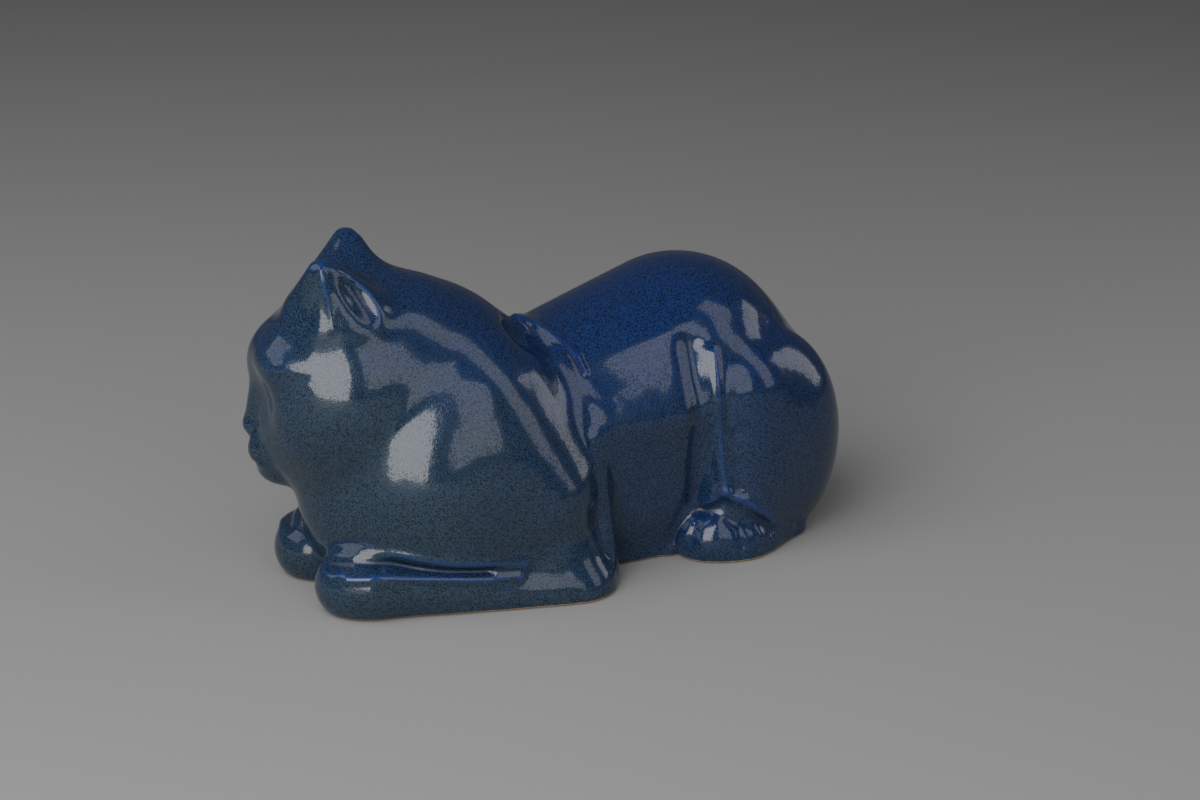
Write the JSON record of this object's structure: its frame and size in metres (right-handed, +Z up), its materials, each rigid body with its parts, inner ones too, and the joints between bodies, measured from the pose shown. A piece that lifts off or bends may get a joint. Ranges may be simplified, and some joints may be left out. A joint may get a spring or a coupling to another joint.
{
  "type": "funeral urn",
  "caption": "Hollow glazed ceramic ashes urn in the form of a lying cat with its head turned, filled through a stoppered hole in its flat base.",
  "frame": {"origin": "centre of the footprint's bounding box, on the ground that the urn stands on", "axes": "+X from the cat's head towards its rump, +Y towards the cat's right side, +Z up"},
  "size_m": [0.2996, 0.1484, 0.1675],
  "materials": {
    "glaze": "gloss",
    "stopper_rubber": "matt"
  },
  "bodies": {
    "root": {"cat_vessel": "glaze", "stopper": "stopper_rubber"}
  },
  "joints": []
}
